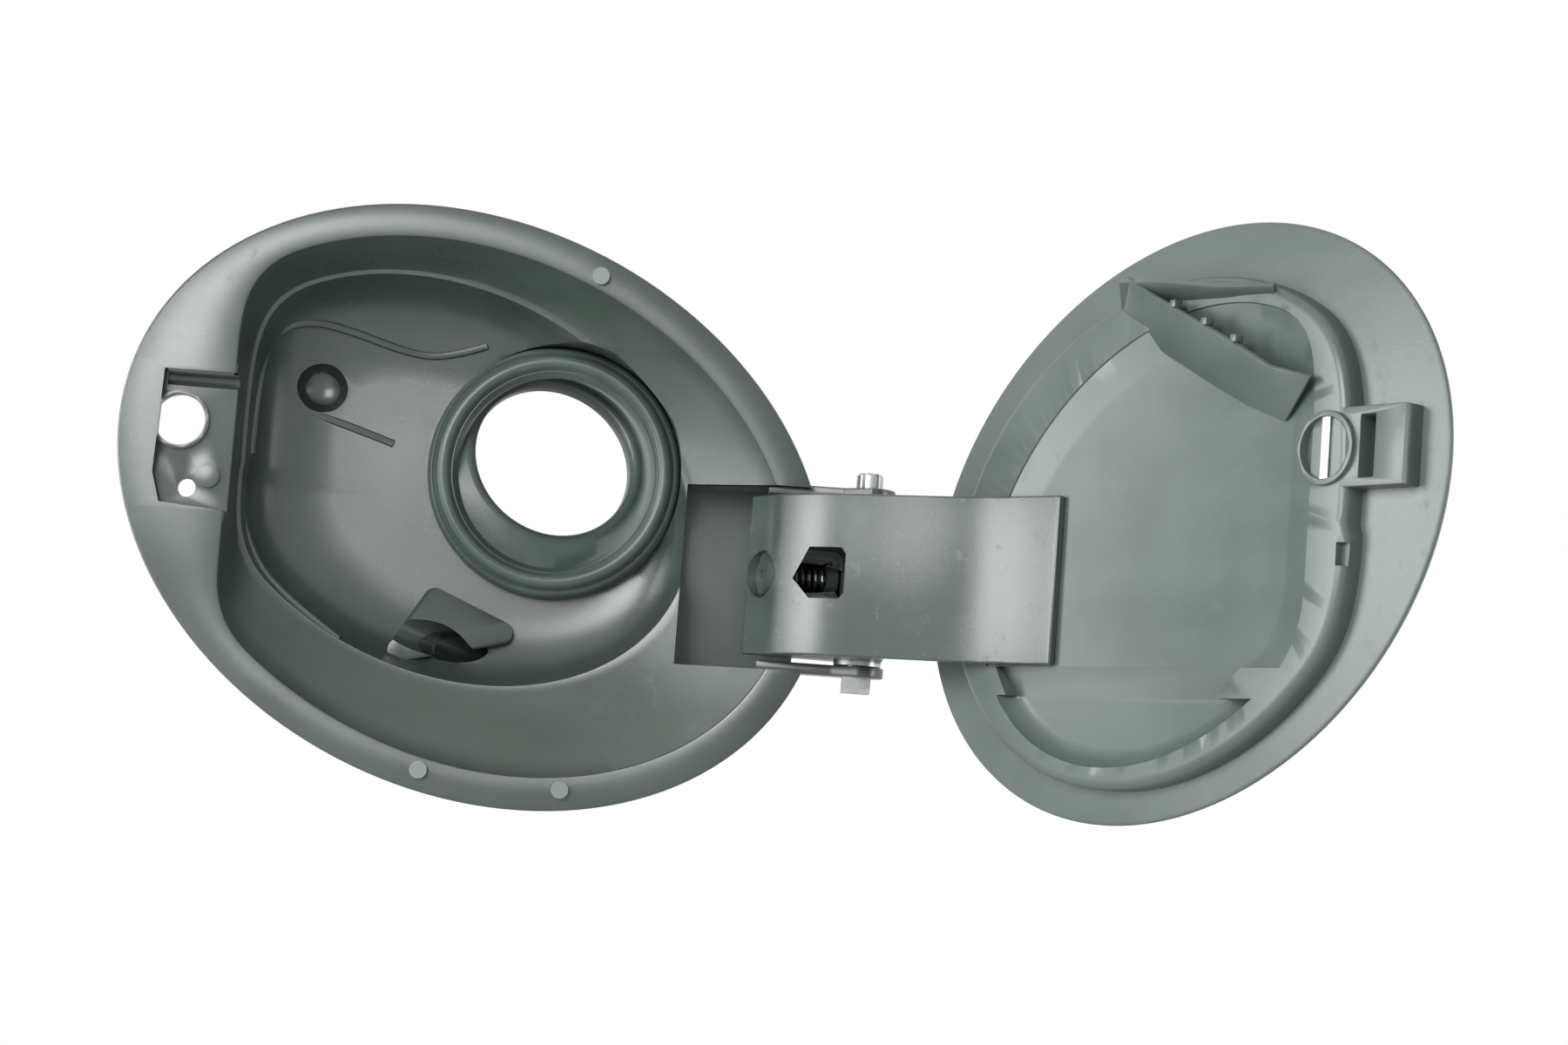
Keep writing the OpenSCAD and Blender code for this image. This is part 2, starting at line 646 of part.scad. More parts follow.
module hinge_arm() color(plastic) opened() difference() {
    union() {
        translate([0, 0, arm_z - arm_w / 2]) linear_extrude(arm_w) arm_section();
        for (z = [arm_z - arm_w / 2, arm_z + arm_w / 2 - web_t]) translate([0, 0, z]) linear_extrude(web_t) web_section();
        translate([0, 0, arm_z - arm_w / 2 + foot_in]) linear_extrude(arm_w - 2 * foot_in) foot_section();
        at_pin(arm_z - arm_w / 2) cylinder(r = barrel_r, h = arm_w);
        along_plunger(pin_r + 1) cylinder(r = tunnel_r + tunnel_wall, h = plug_dist - pin_r - 1.5);
        along_plunger(pin_r + 1) translate([-block_h, -tunnel_r - tunnel_wall, 0])
            cube([2 * block_h, 2 * (tunnel_r + tunnel_wall), plug_dist - pin_r - 8]);
    }
    at_pin(arm_z - arm_w / 2 - 1) cylinder(r = bush_r, h = bush_len + 1);
    at_pin(arm_z + arm_w / 2 - bush_len) cylinder(r = bush_r, h = bush_len + 1);
    at_pin(arm_z - arm_w / 2) cylinder(r = pin_r + 1, h = arm_w);
    along_plunger(0) cylinder(r = tunnel_r, h = plug_dist + 6);
    along_plunger(plug_dist - plug_rim) cylinder(r = barrel_r, h = 6);
    window();
}

// Window over the spring, cut square to the open arm
module window() translate([pin_x, pin_y, 0]) rotate(-open_angle) translate([0, -6, arm_z])
    rotate([90, 0, 0]) linear_extrude(40)
    polygon([[-24.5, -1.5], [-19.7, 9], [-9.4, 9], [-7.9, 7], [-7.9, -6], [-9.4, -8], [-19, -8]]);

module bush(z, flip) at_pin(z) mirror([0, 0, flip]) difference() {
    union() {
        cylinder(r = bush_r, h = bush_len);
        translate([0, 0, -bush_flange]) cylinder(r = barrel_r, h = bush_flange);
    }
    translate([0, 0, -bush_flange - 1]) cylinder(r = pin_r + pin_gap, h = bush_len + bush_flange + 2);
}

module upper_bush() color(steel) bush(arm_z + arm_w / 2, 1);
module lower_bush() color(steel) bush(arm_z - arm_w / 2, 0);

module spring_plug() color(plastic_light) opened() difference() {
    union() {
        along_plunger(plug_dist - plug_rim - plug_len) cylinder(r = tunnel_r, h = plug_len);
        along_plunger(plug_dist - plug_rim) cylinder(r = barrel_r - 1, h = plug_rim);
    }
    along_plunger(plug_dist - 0.5) cylinder(r = 1.6, h = 3);
}

module detent_plunger() color(plastic_light) opened() {
    along_plunger(tip_at + 2) cylinder(r = 3, h = shoulder_at - tip_at - 2);
    along_plunger(tip_at) cylinder(r1 = 1.6, r2 = 3, h = 2);
    along_plunger(shoulder_at) cylinder(r = tunnel_r - 0.3, h = 4);
    along_plunger(shoulder_at + 4) cylinder(r = 2.6, h = 4);
}

// Detent spring: a helix from the plunger's shoulder to the plug

coil_r = 3.9;
wire_r = 0.6;
coil_turns = 6;
coil_steps = 14;
coil_from = shoulder_at + 4 + wire_r + 0.05;
coil_to = plug_dist - plug_rim - plug_len - wire_r - 0.05;

function coil_point(s, a) = let (t = 360 * s / coil_steps, r = coil_r + wire_r * cos(a))
    [r * cos(t), r * sin(t), (coil_to - coil_from) * s / (coil_turns * coil_steps) + wire_r * sin(a)];

module detent_spring() color(steel) opened() along_plunger(coil_from) {
    last = coil_turns * coil_steps;
    points = [for (s = [0 : last], k = [0 : 5]) coil_point(s, 60 * k)];
    sides = [for (s = [0 : last - 1], k = [0 : 5])
        let (a = s * 6 + k, b = s * 6 + (k + 1) % 6)
        each [[a, a + 6, b + 6], [a, b + 6, b]]];
    polyhedron(points, concat(sides, [[0, 1, 2, 3, 4, 5], [for (k = [5 : -1 : 0]) last * 6 + k]]));
}

housing_shell();
housing_flange();
latch_plate();
hinge_bracket();
filler_boot();
neck_lip();
boot_retainer();
flange_seal();
bump_stop_top();
bump_stop_bottom();
bump_stop_left();
hinge_pin();
door_skin();
inner_panel();
hinge_arm();
upper_bush();
lower_bush();
spring_plug();
detent_spring();
detent_plunger();
cap_holder();
latch_catch();
catch_clip();
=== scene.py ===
"""Looks of the car fuel door: moulded housing, rubber boot, gooseneck arm and oval door.

Shapes are modelled in millimetres, then brought to metres. The door is modelled closed and swung open.
"""
import math

import bpy
from mathutils import Matrix, Vector


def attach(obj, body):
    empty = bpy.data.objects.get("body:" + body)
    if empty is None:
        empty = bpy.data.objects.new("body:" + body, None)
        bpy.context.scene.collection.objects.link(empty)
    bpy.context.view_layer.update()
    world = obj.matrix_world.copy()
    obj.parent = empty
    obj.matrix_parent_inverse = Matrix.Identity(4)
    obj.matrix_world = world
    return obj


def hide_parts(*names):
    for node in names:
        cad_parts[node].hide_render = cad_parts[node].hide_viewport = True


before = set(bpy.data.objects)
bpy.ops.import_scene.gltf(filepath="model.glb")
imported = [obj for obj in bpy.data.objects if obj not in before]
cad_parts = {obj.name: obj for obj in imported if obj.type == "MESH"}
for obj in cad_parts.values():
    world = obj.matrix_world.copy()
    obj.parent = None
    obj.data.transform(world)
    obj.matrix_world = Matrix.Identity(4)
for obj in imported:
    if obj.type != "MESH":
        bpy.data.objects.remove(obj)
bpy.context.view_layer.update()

MM = 0.001
OVAL_TURN = 23.4
FLANGE = (124.0, 95.5)
MOUTH = (112.5, 84.0)
LEFT = -82.0
FLOOR_Y = 42.5
WALL = 2.5
BOOT = (24.7, 17.0)
BOOT_R = 44.0
BOOT_GAP = 0.3
NECK_R = 28.5
NECK_LEAN = 25.0
PIN = (133.0, 6.5)
OPEN_ANGLE = 125.2
ARM_Z = -16.0
ARM_W = 53.6
ARM_T = 2.8
ARM_LOW = ARM_Z - ARM_W / 2
ARM_HIGH = ARM_Z + ARM_W / 2
EAR_LOW = ARM_LOW - 1.5
EAR_HIGH = ARM_HIGH + 1.5
EAR_T = 3.5
EAR_R = 9.0
PIN_BORE_R = 4.05
SKIN_Y = -4.5
RIM_Y = 3.0
CORNER_TOP = 20.0
CORNER_LOW = 12.0
DRAIN = (-7.4, FLOOR_Y - 5, -45.5)
DRAIN_R = 6.0
DRAIN_LEN = 46.0
HOSE_LEN = 12.0
SPOUT_R = DRAIN_R + 1.8
ROOT_R = DRAIN_R + 2.7

# Hinge well: its left wall, right end, back and height
WELL_LEFT = BOOT[0] + BOOT_R + BOOT_GAP + WALL
WELL_END = 112.0
WELL_BACK = FLOOR_Y - 2.5
WELL_LOW = EAR_LOW - EAR_T + 0.3
WELL_HIGH = EAR_HIGH + EAR_T - 1.3

# Left limit of a level that isn't cut off, and what the bowl's space is grown by as a trimmer
OPEN_LEFT = -200.0
TRIM = 0.2

# Latch plate and catch: x and z of the holes, the boss and the catch's ring, and their radii
LATCH_HOLE = (-100.3, 21.5)
LATCH_HOLE_R = 8.6
SCREW_HOLE = (-96.1, -1.2)
SCREW_HOLE_R = 3.1
PLATE_BOSS = (-89.2, 3.2)
POCKET_D = 5.5
GROOVE_R = 2.2
RING = (-70.5, 19.5)
RING_R = 10.8
RING_BORE_R = 9.0

# Finger dimple in the bowl's floor
DIMPLE = (-57.3, FLOOR_Y - 6.5, 40.3)
DIMPLE_R = 10.0

# Arm: barrel, bushes, web, foot, the plunger's tunnel and the plug at its end, measured from the pin
BARREL_R = 8.0
BUSH_R = 6.0
BUSH_LEN = 12.0
WEB_T = 2.4
FOOT_IN = 4.0
TUNNEL_R = 5.2
TUNNEL_WALL = 1.8
CASE_HALF = 11.0
PLUG = (13.2, 32.6)
PLUG_RIM = 0.9

# Bowl from the flange's face to the floor: depth, centre x, centre z, half length, half height, left limit
BOWL = [
    (1.0, 0.0, 0.0, 112.5, 84.0, -82.0),
    (6.0, -3.0, 2.6, 106.5, 79.3, -81.9),
    (12.0, -6.9, 6.2, 98.4, 73.3, -81.7),
    (17.4, -10.5, 9.5, 90.9, 67.7, -81.5),
    (18.2, -11.0, 9.9, 89.6, 66.6, -81.0),
    (18.5, -11.0, 9.9, 88.2, 65.2, -79.8),
    (20.0, -11.0, 9.9, 87.6, 64.8, -79.3),
    (25.0, -10.3, 9.4, 86.6, 63.3, -78.7),
    (30.5, -9.5, 8.8, 85.0, 61.5, -78.0),
    (36.5, -8.0, 7.6, 79.5, 56.0, -74.0),
    (40.0, -7.0, 6.8, 72.5, 49.0, -68.0),
    (41.9, -6.4, 6.2, 65.5, 42.0, -61.0),
    (42.5, -6.0, 6.0, 58.5, 35.0, -54.0),
    (42.5, -6.0, 6.0, 30.0, 18.0, -54.0),
    (42.5, -6.0, 6.0, 6.0, 4.0, -54.0),
]

# Outer line of the gooseneck arm with the door closed, from the foot to the end, measured from the pin
ARM_LINE = [(-91.5, -4.1), (-73.5, -0.9), (-55.8, 5.0), (-27.6, 20.7), (-11.5, 28.9), (4.0, 32.6),
            (13.0, 32.6), (22.3, 32.6)]


# Modelling


def clear():
    """Leaves edit mode and deselects everything."""
    if bpy.context.object and bpy.context.object.mode != "OBJECT":
        bpy.ops.object.mode_set(mode="OBJECT")
    bpy.ops.object.select_all(action="DESELECT")


def only(piece):
    """Makes one piece the selected and active one."""
    clear()
    piece.select_set(True)
    bpy.context.view_layer.objects.active = piece


def new_piece(name, data):
    """New object in the scene."""
    piece = bpy.data.objects.new(name, data)
    bpy.context.scene.collection.objects.link(piece)
    return piece


def edit(piece):
    """Enters edit mode with all of one piece selected."""
    only(piece)
    bpy.ops.object.mode_set(mode="EDIT")
    bpy.ops.mesh.select_all(action="SELECT")


def outward(piece):
    """Merges doubles and points all faces outwards."""
    edit(piece)
    bpy.ops.mesh.remove_doubles(threshold=0.0005)
    bpy.ops.mesh.normals_make_consistent(inside=False)
    bpy.ops.object.mode_set(mode="OBJECT")


def select_rows(piece, rows, count):
    """Selects whole rings of a lofted piece by their number."""
    edit(piece)
    bpy.ops.mesh.select_all(action="DESELECT")
    bpy.ops.object.mode_set(mode="OBJECT")
    for row in rows:
        for i in range(count):
            piece.data.vertices[row * count + i].select = True
    bpy.ops.object.mode_set(mode="EDIT")


def rings(name, stations, count=144, joined=False):
    """Extrudes a ring from station to station: x, y, z, half length, half height, lean about Z."""
    clear()
    x, y, z, a, b, lean = stations[0]
    bpy.ops.mesh.primitive_circle_add(vertices=count, radius=1, location=(x, y, z),
                                      rotation=(math.pi / 2, 0, 0))
    piece = bpy.context.object
    piece.name = name
    bpy.ops.object.transform_apply(location=True, rotation=True, scale=True)
    edit(piece)
    bpy.ops.transform.resize(value=(a, 1, b), center_override=(x, y, z))
    for nx, ny, nz, na, nb, new_lean in stations[1:]:
        bpy.ops.mesh.extrude_region_move()
        depth = na / a if lean or new_lean else 1
        bpy.ops.transform.resize(value=(na / a, depth, nb / b), center_override=(x, y, z))
        if new_lean != lean:
            turn_selected(new_lean - lean, "Z", (x, y, z))
        bpy.ops.transform.translate(value=(nx - x, ny - y, nz - z))
        x, y, z, a, b, lean = nx, ny, nz, na, nb, new_lean
    last = len(stations) - 1
    if joined:
        select_rows(piece, [0, last], count)
        bpy.ops.mesh.bridge_edge_loops()
    else:
        for row in (0, last):
            select_rows(piece, [row], count)
            bpy.ops.mesh.edge_face_add()
    outward(piece)
    return piece


def turn_selected(degrees, axis, centre):
    """Turns the selection by the right-hand rule; with no window the operator turns the other way."""
    bpy.ops.transform.rotate(value=-math.radians(degrees), orient_axis=axis, center_override=centre)


def turn_piece(piece, degrees, axis, centre):
    """Turns a whole piece about a centre, and keeps its object at the origin."""
    at = Matrix.Translation(Vector(centre))
    turn = Matrix.Rotation(math.radians(degrees), 4, axis)
    piece.matrix_world = at @ turn @ at.inverted() @ piece.matrix_world
    only(piece)
    bpy.ops.object.transform_apply(location=True, rotation=True, scale=True)


def move_piece(piece, distance):
    """Moves a whole piece, and keeps its object at the origin."""
    piece.location = distance
    only(piece)
    bpy.ops.object.transform_apply(location=True)


def limited(x, left, reach):
    """x kept right of a straight limit, with a rounding that reaches to each side."""
    d = x - left
    if d > reach:
        return x
    if d < -reach:
        return left
    return left + (d + reach) ** 2 / (4 * reach)


def oval_loft(name, levels, turn=OVAL_TURN, count=144):
    """Loft through ovals that share one turn; each level is cut off straight at its left limit."""
    c = math.cos(math.radians(turn))
    s = math.sin(math.radians(turn))
    stations = [(x * c - z * s, y, x * s + z * c, a, b, 0) for y, x, z, a, b, left in levels]
    piece = rings(name, stations, count)
    turn_piece(piece, turn, "Y", (0, 0, 0))
    for number, vertex in enumerate(piece.data.vertices):
        row = min(number // count, len(levels) - 1)
        reach = CORNER_TOP if vertex.co.z > levels[row][2] else CORNER_LOW
        vertex.co.x = limited(vertex.co.x, levels[row][5], reach)
    return piece


def tube(name, section, centre, count=96):
    """Closed ring with its axis along Y from a section of radius and depth."""
    return rings(name, [(centre[0], y, centre[1], r, r, 0) for r, y in section], count, joined=True)


def prism(name, outline, axis, low, high):
    """Outline pulled straight along Y or Z; the outline is x, z or x, y."""
    clear()
    if axis == "Y":
        corners = [(x, low, z) for x, z in outline]
        move = (0, high - low, 0)
    else:
        corners = [(x, y, low) for x, y in outline]
        move = (0, 0, high - low)
    mesh = bpy.data.meshes.new(name)
    mesh.from_pydata(corners, [], [list(range(len(corners)))])
    piece = new_piece(name, mesh)
    edit(piece)
    bpy.ops.mesh.extrude_region_move()
    bpy.ops.transform.translate(value=move)
    outward(piece)
    return piece


def rod(name, radius, axis, low, high, at, count=64):
    """Bar with a round section along Y or Z; at is x, z or x, y."""
    outline = [(at[0] + radius * math.cos(t), at[1] + radius * math.sin(t))
               for t in (2 * math.pi * i / count for i in range(count))]
    return prism(name, outline, axis, low, high)


def block(name, low, high):
    """Box between two corners."""
    outline = [(low[0], low[2]), (high[0], low[2]), (high[0], high[2]), (low[0], high[2])]
    return prism(name, outline, "Y", low[1], high[1])


def apply_all(piece):
    """Applies every modifier of a piece."""
    only(piece)
    for modifier in list(piece.modifiers):
        bpy.ops.object.modifier_apply(modifier=modifier.name)


def combine(piece, other, operation):
    """Boolean of a piece with another, which is used up."""
    modifier = piece.modifiers.new(operation.lower(), "BOOLEAN")
    modifier.operation = operation
    modifier.solver = "EXACT"
    modifier.object = other
    apply_all(piece)
    bpy.data.objects.remove(other)


def cut(piece, *others):
    """Takes the others out of a piece."""
    for other in others:
        combine(piece, other, "DIFFERENCE")


def fuse(piece, *others):
    """Merges the others into a piece."""
    for other in others:
        combine(piece, other, "UNION")


def join(piece, *others):
    """Puts overlapping solids into one piece without merging them."""
    clear()
    for other in others:
        other.select_set(True)
    piece.select_set(True)
    bpy.context.view_layer.objects.active = piece
    bpy.ops.object.join()


def round_edges(piece, width, segments=2, angle=32):
    """Rounds every edge sharper than the angle."""
    modifier = piece.modifiers.new("rounding", "BEVEL")
    modifier.width = width
    modifier.segments = segments
    modifier.limit_method = "ANGLE"
    modifier.angle_limit = math.radians(angle)
    modifier.use_clamp_overlap = True
    modifier.miter_outer = "MITER_ARC"
    apply_all(piece)


def swing_open(piece):
    """Turns a piece of the closed door to where the open door holds it."""
    turn_piece(piece, OPEN_ANGLE, "Z", (PIN[0], PIN[1], 0))


def settle(piece, body, nodes, material, angle=32):
    """Brings a piece to metres, smooths it, gives it its body and its finish, and hides the CAD nodes it
    stands for.
    """
    only(piece)
    piece.scale = (MM, MM, MM)
    bpy.ops.object.transform_apply(location=True, rotation=True, scale=True)
    bpy.ops.object.shade_smooth_by_angle(angle=math.radians(angle))
    piece.data.materials.clear()
    piece.data.materials.append(material)
    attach(piece, body)
    if nodes:
        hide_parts(*nodes)


def smooth_line(points, steps):
    """Smooth curve through points in the plane."""
    line = []
    for i in range(len(points) - 1):
        a = Vector(points[max(i - 1, 0)])
        b = Vector(points[i])
        c = Vector(points[i + 1])
        d = Vector(points[min(i + 2, len(points) - 1)])
        for step in range(steps):
            t = step / steps
            line.append(b + t * (c - a) / 2 + t * t * (a - 2.5 * b + 2 * c - d / 2)
                        + t * t * t * (1.5 * (b - c) + (d - a) / 2))
    line.append(Vector(points[-1]))
    return line


def beside(line, distance):
    """The line moved sideways, to the right of its direction."""
    moved = []
    for i, point in enumerate(line):
        along = (line[min(i + 1, len(line) - 1)] - line[max(i - 1, 0)]).normalized()
        moved.append(point + Vector((along.y, -along.x)) * distance)
    return moved


# Shader maths


class Value:
    """A shader socket that can be used in Python expressions."""

    def __init__(self, paint, socket):
        self.paint = paint
        self.socket = socket

    def maths(self, operation, *values):
        """Result of a maths node."""
        return self.paint.node("ShaderNodeMath", {"operation": operation}, *values)

    def __add__(self, other):
        return self.maths("ADD", self, other)

    __radd__ = __add__

    def __mul__(self, other):
        return self.maths("MULTIPLY", self, other)

    def over(self, low, high):
        """0 below low, 1 above high, and smooth between."""
        return self.paint.node("ShaderNodeMapRange", {"interpolation_type": "SMOOTHSTEP"}, self, low, high)


class Paint:
    """One material and its nodes."""

    def __init__(self, name):
        self.material = bpy.data.materials.new(name)
        self.material.use_nodes = True
        self.tree = self.material.node_tree
        self.shader = self.tree.nodes["Principled BSDF"]
        self.place = self.node("ShaderNodeTexCoord", {}, output="Object")

    def node(self, kind, settings, *values, output=0, **named):
        """Adds a node, sets its settings first, then its sockets in order or by name."""
        made = self.tree.nodes.new(kind)
        for key, value in settings.items():
            setattr(made, key, value)
        for key, value in list(enumerate(values)) + list(named.items()):
            self.give(made.inputs[key], value)
        return Value(self, made.outputs[output])

    def give(self, socket, value):
        """Links a shader value to a socket, or sets a plain one."""
        if isinstance(value, Value):
            self.tree.links.new(value.socket, socket)
        else:
            socket.default_value = value

    def noise(self, scale, detail=3.0, roughness=0.55, place=None):
        """Noise in the piece's own frame."""
        return self.node("ShaderNodeTexNoise", {}, Vector=place or self.place, Scale=scale, Detail=detail,
                         Roughness=roughness)

    def stretched(self, x, y, z):
        """The place on the piece, stretched along its axes."""
        return self.node("ShaderNodeVectorMath", {"operation": "MULTIPLY"}, self.place, (x, y, z))

    def mix(self, share, first, second):
        """Colour between two colours."""
        made = self.tree.nodes.new("ShaderNodeMix")
        made.data_type = "RGBA"
        for number, value in ((0, share), (6, first), (7, second)):
            self.give(made.inputs[number], value)
        return Value(self, made.outputs[2])

    def bump(self, height, strength, distance):
        """Surface direction of a small relief."""
        return self.node("ShaderNodeBump", {}, Height=height, Strength=strength, Distance=distance,
                         output="Normal")

    def feed(self, **sockets):
        """Links or sets the shader's sockets; an underscore stands for a space."""
        for key, value in sockets.items():
            self.give(self.shader.inputs[key.replace("_", " ")], value)


def shade(r, g, b):
    """Colour as the eye reads it, 0 to 255, made linear."""
    parts = (v / 255 for v in (r, g, b))
    return tuple(v / 12.92 if v < 0.0404 else ((v + 0.055) / 1.055) ** 2.4 for v in parts) + (1.0,)


def moulded_plastic(name, dark, pale, rough, grain=0.12, gloss=0.7):
    """Satin moulded plastic: cloudy tone, soft flow streaks, fine grain and scuffed gloss."""
    paint = Paint(name)
    clouds = paint.noise(22.0, 4.0)
    streaks = paint.noise(9.0, 3.0, 0.5, paint.stretched(1.0, 1.0, 6.0))
    tone = (clouds * 0.6 + streaks * 0.4).over(0.32, 0.68)
    fine = paint.noise(2600.0, 2.0)
    scuffs = paint.noise(130.0, 5.0, 0.7).over(0.56, 0.72)
    paint.feed(Base_Color=paint.mix(tone, dark, pale),
               Roughness=rough + tone * 0.06 + scuffs * 0.10,
               Normal=paint.bump(fine + clouds * 0.8, grain, 0.0003),
               Specular_IOR_Level=gloss)
    return paint.material


def soft_rubber(name, dark, pale, rough):
    """Moulded rubber: dusty tone and a fine tooth."""
    paint = Paint(name)
    dust = paint.noise(35.0, 5.0, 0.6).over(0.35, 0.7)
    tooth = paint.noise(1500.0, 2.0)
    paint.feed(Base_Color=paint.mix(dust, dark, pale), Roughness=rough + dust * 0.1,
               Normal=paint.bump(tooth, 0.15, 0.0003), Specular_IOR_Level=0.45)
    return paint.material


def plated_steel(name, tone, rough):
    """Zinc plated steel: drawn lines along Z and dull patches."""
    paint = Paint(name)
    lines = paint.noise(700.0, 2.0, 0.5, paint.stretched(1.0, 1.0, 0.05))
    patches = paint.noise(160.0, 4.0).over(0.4, 0.7)
    darker = tuple(v * 0.7 for v in tone[:3]) + (1.0,)
    paint.feed(Base_Color=paint.mix(patches, tone, darker), Metallic=1.0, Roughness=rough + patches * 0.15,
               Normal=paint.bump(lines, 0.15, 0.0002))
    return paint.material


housing_plastic = moulded_plastic("housing plastic", shade(52, 62, 57), shade(64, 74, 69), 0.26)
door_plastic = moulded_plastic("door plastic", shade(74, 85, 82), shade(86, 97, 94), 0.3)
arm_plastic = moulded_plastic("arm plastic", shade(54, 64, 60), shade(66, 76, 72), 0.21)
boot_rubber = soft_rubber("boot rubber", shade(64, 76, 71), shade(78, 90, 85), 0.28)
seal_rubber = soft_rubber("seal rubber", shade(52, 56, 54), shade(70, 74, 72), 0.6)
stop_rubber = soft_rubber("stop rubber", shade(112, 120, 117), shade(124, 132, 129), 0.5)
pin_steel = plated_steel("pin steel", shade(178, 181, 180), 0.32)
spring_steel = plated_steel("spring steel", shade(120, 124, 122), 0.35)


# Housing


def bowl_back():
    """Levels of the back of the bowl, from its middle out to the flange."""
    grown = [(y + WALL, x, z, a + WALL, b + WALL, left - WALL) for y, x, z, a, b, left in BOWL]
    grown = [level for level in grown if level[0] > 3.2 + WALL]
    rim = (2.6, 0.0, 0.0, MOUTH[0] + WALL + 1.0, MOUTH[1] + WALL + 1.0, LEFT - WALL - 1.0)
    lip = [
        (2.6, 0.0, 0.0, FLANGE[0] - 2.4, FLANGE[1] - 2.4, OPEN_LEFT),
        (3.0, 0.0, 0.0, FLANGE[0] - 1.9, FLANGE[1] - 1.9, OPEN_LEFT),
        (5.0, 0.0, 0.0, FLANGE[0] - 1.7, FLANGE[1] - 1.7, OPEN_LEFT),
        (5.0, 0.0, 0.0, FLANGE[0], FLANGE[1], OPEN_LEFT),
    ]
    return list(reversed(grown)) + [rim] + lip


def bowl_front():
    """Levels of the flange's face and the inside of the bowl, from the rim in."""
    face = [
        (1.1, 0.0, 0.0, FLANGE[0], FLANGE[1], OPEN_LEFT),
        (0.4, 0.0, 0.0, FLANGE[0] - 0.3, FLANGE[1] - 0.3, OPEN_LEFT),
        (0.0, 0.0, 0.0, FLANGE[0] - 1.1, FLANGE[1] - 1.1, OPEN_LEFT),
        (0.0, 0.0, 0.0, MOUTH[0] + 1.2, MOUTH[1] + 1.2, LEFT - 1.2),
        (0.25, 0.0, 0.0, MOUTH[0] + 0.4, MOUTH[1] + 0.4, LEFT - 0.4),
    ]
    return face + BOWL


def bowl_space():
    """Closed form of the space in the bowl, a little grown, to trim what is built behind it."""
    levels = [(-1.0, 0.0, 0.0, MOUTH[0], MOUTH[1], LEFT)] + BOWL
    return oval_loft("bowl space", [(y + TRIM, x, z, a + TRIM, b + TRIM, left - TRIM)
                                    for y, x, z, a, b, left in levels])


def hinge_well():
    """Walls of the well behind the arm, open to the bowl and to the right."""
    walls = block("well", (WELL_LEFT - WALL, 0.5, WELL_LOW - WALL),
                  (WELL_END, WELL_BACK + WALL, WELL_HIGH + WALL))
    cut(walls, block("well inside", (WELL_LEFT, -3.0, WELL_LOW), (140.0, WELL_BACK, WELL_HIGH)))
    cut(walls, bowl_space())
    return walls


def well_cut():
    """Way of the arm through the flange and the bowl's right end."""
    return block("well cut", (WELL_LEFT, -3.0, WELL_LOW), (170.0, WELL_BACK, WELL_HIGH))


def boot_socket():
    """Cup in the floor that the boot sits in."""
    outer = BOOT_R + BOOT_GAP + WALL
    inner = BOOT_R + BOOT_GAP
    hole = BOOT_R - 7
    socket = tube("socket", [(outer, 22.5), (outer, FLOOR_Y + WALL), (hole, FLOOR_Y + WALL), (hole, FLOOR_Y),
                             (inner, FLOOR_Y), (inner, 22.5)], BOOT)
    cut(socket, bowl_space())
    return socket


def ear(z):
    """Flat lug that carries one end of the pin."""
    arc = [(PIN[0] + EAR_R * math.cos(t), PIN[1] + EAR_R * math.sin(t))
           for t in (math.radians(-90 + 180 * i / 32) for i in range(33))]
    outline = [(99.0, 6.0), (124.0, 4.5)] + arc + [(99.0, PIN[1] + 13)]
    lug = prism("ear", outline, "Z", z, z + EAR_T)
    cut(lug, rod("ear bore", PIN_BORE_R, "Z", z - 1, z + EAR_T + 1, PIN))
    round_edges(lug, 0.5)
    return lug


def pocket_space(name, grow=0.0):
    """Space of the latch pocket, open to the recess at its right."""
    outline = [(-106.0, 38.0), (-76.0, 38.0), (-76.0, -9.0), (-104.0, -7.0), (-107.0, 3.0)]
    return prism(name, outline, "Y", -3.0, POCKET_D + grow)


def along_x(piece, place):
    """Lays a piece modelled along Z down along X, and puts its start at a place."""
    turn_piece(piece, 90.0, "Y", (0, 0, 0))
    move_piece(piece, place)
    return piece


def pocket_groove(grow=0.0):
    """Round groove along the pocket's upper edge."""
    return along_x(rod("groove", GROOVE_R + grow, "Z", 0.0, 30.0, (0, 0), 32), (-105.5, POCKET_D, 35.3))


def latch_plate():
    """Block behind the flange that holds the latch pocket and its holes."""
    plate = block("latch plate", (-110.5, 0.6, -12.0), (LEFT, 8.1, 41.0))
    cut(plate, pocket_space("pocket"), pocket_groove())
    fuse(plate, along_x(rod("pocket roll", 1.7, "Z", 0.0, 22.0, (0, 0), 32), (-105.0, 2.3, 38.4)))
    fuse(plate, rod("collar", LATCH_HOLE_R + 1.4, "Y", 3.9, 6.0, LATCH_HOLE))
    fuse(plate, rod("boss", 4.0, "Y", 4.0, 6.0, PLATE_BOSS, 32))
    cut(plate, rod("latch hole", LATCH_HOLE_R, "Y", -3.0, 12.0, LATCH_HOLE))
    cut(plate, rod("screw hole", SCREW_HOLE_R, "Y", -3.0, 12.0, SCREW_HOLE, 32))
    round_edges(plate, 0.35)
    return plate


def along_drain(piece):
    """Leans a piece modelled along Z from the origin to the drain's direction and place."""
    turn_piece(piece, -104.0, "X", (0, 0, 0))
    turn_piece(piece, -58.0, "Z", (0, 0, 0))
    move_piece(piece, DRAIN)
    return piece


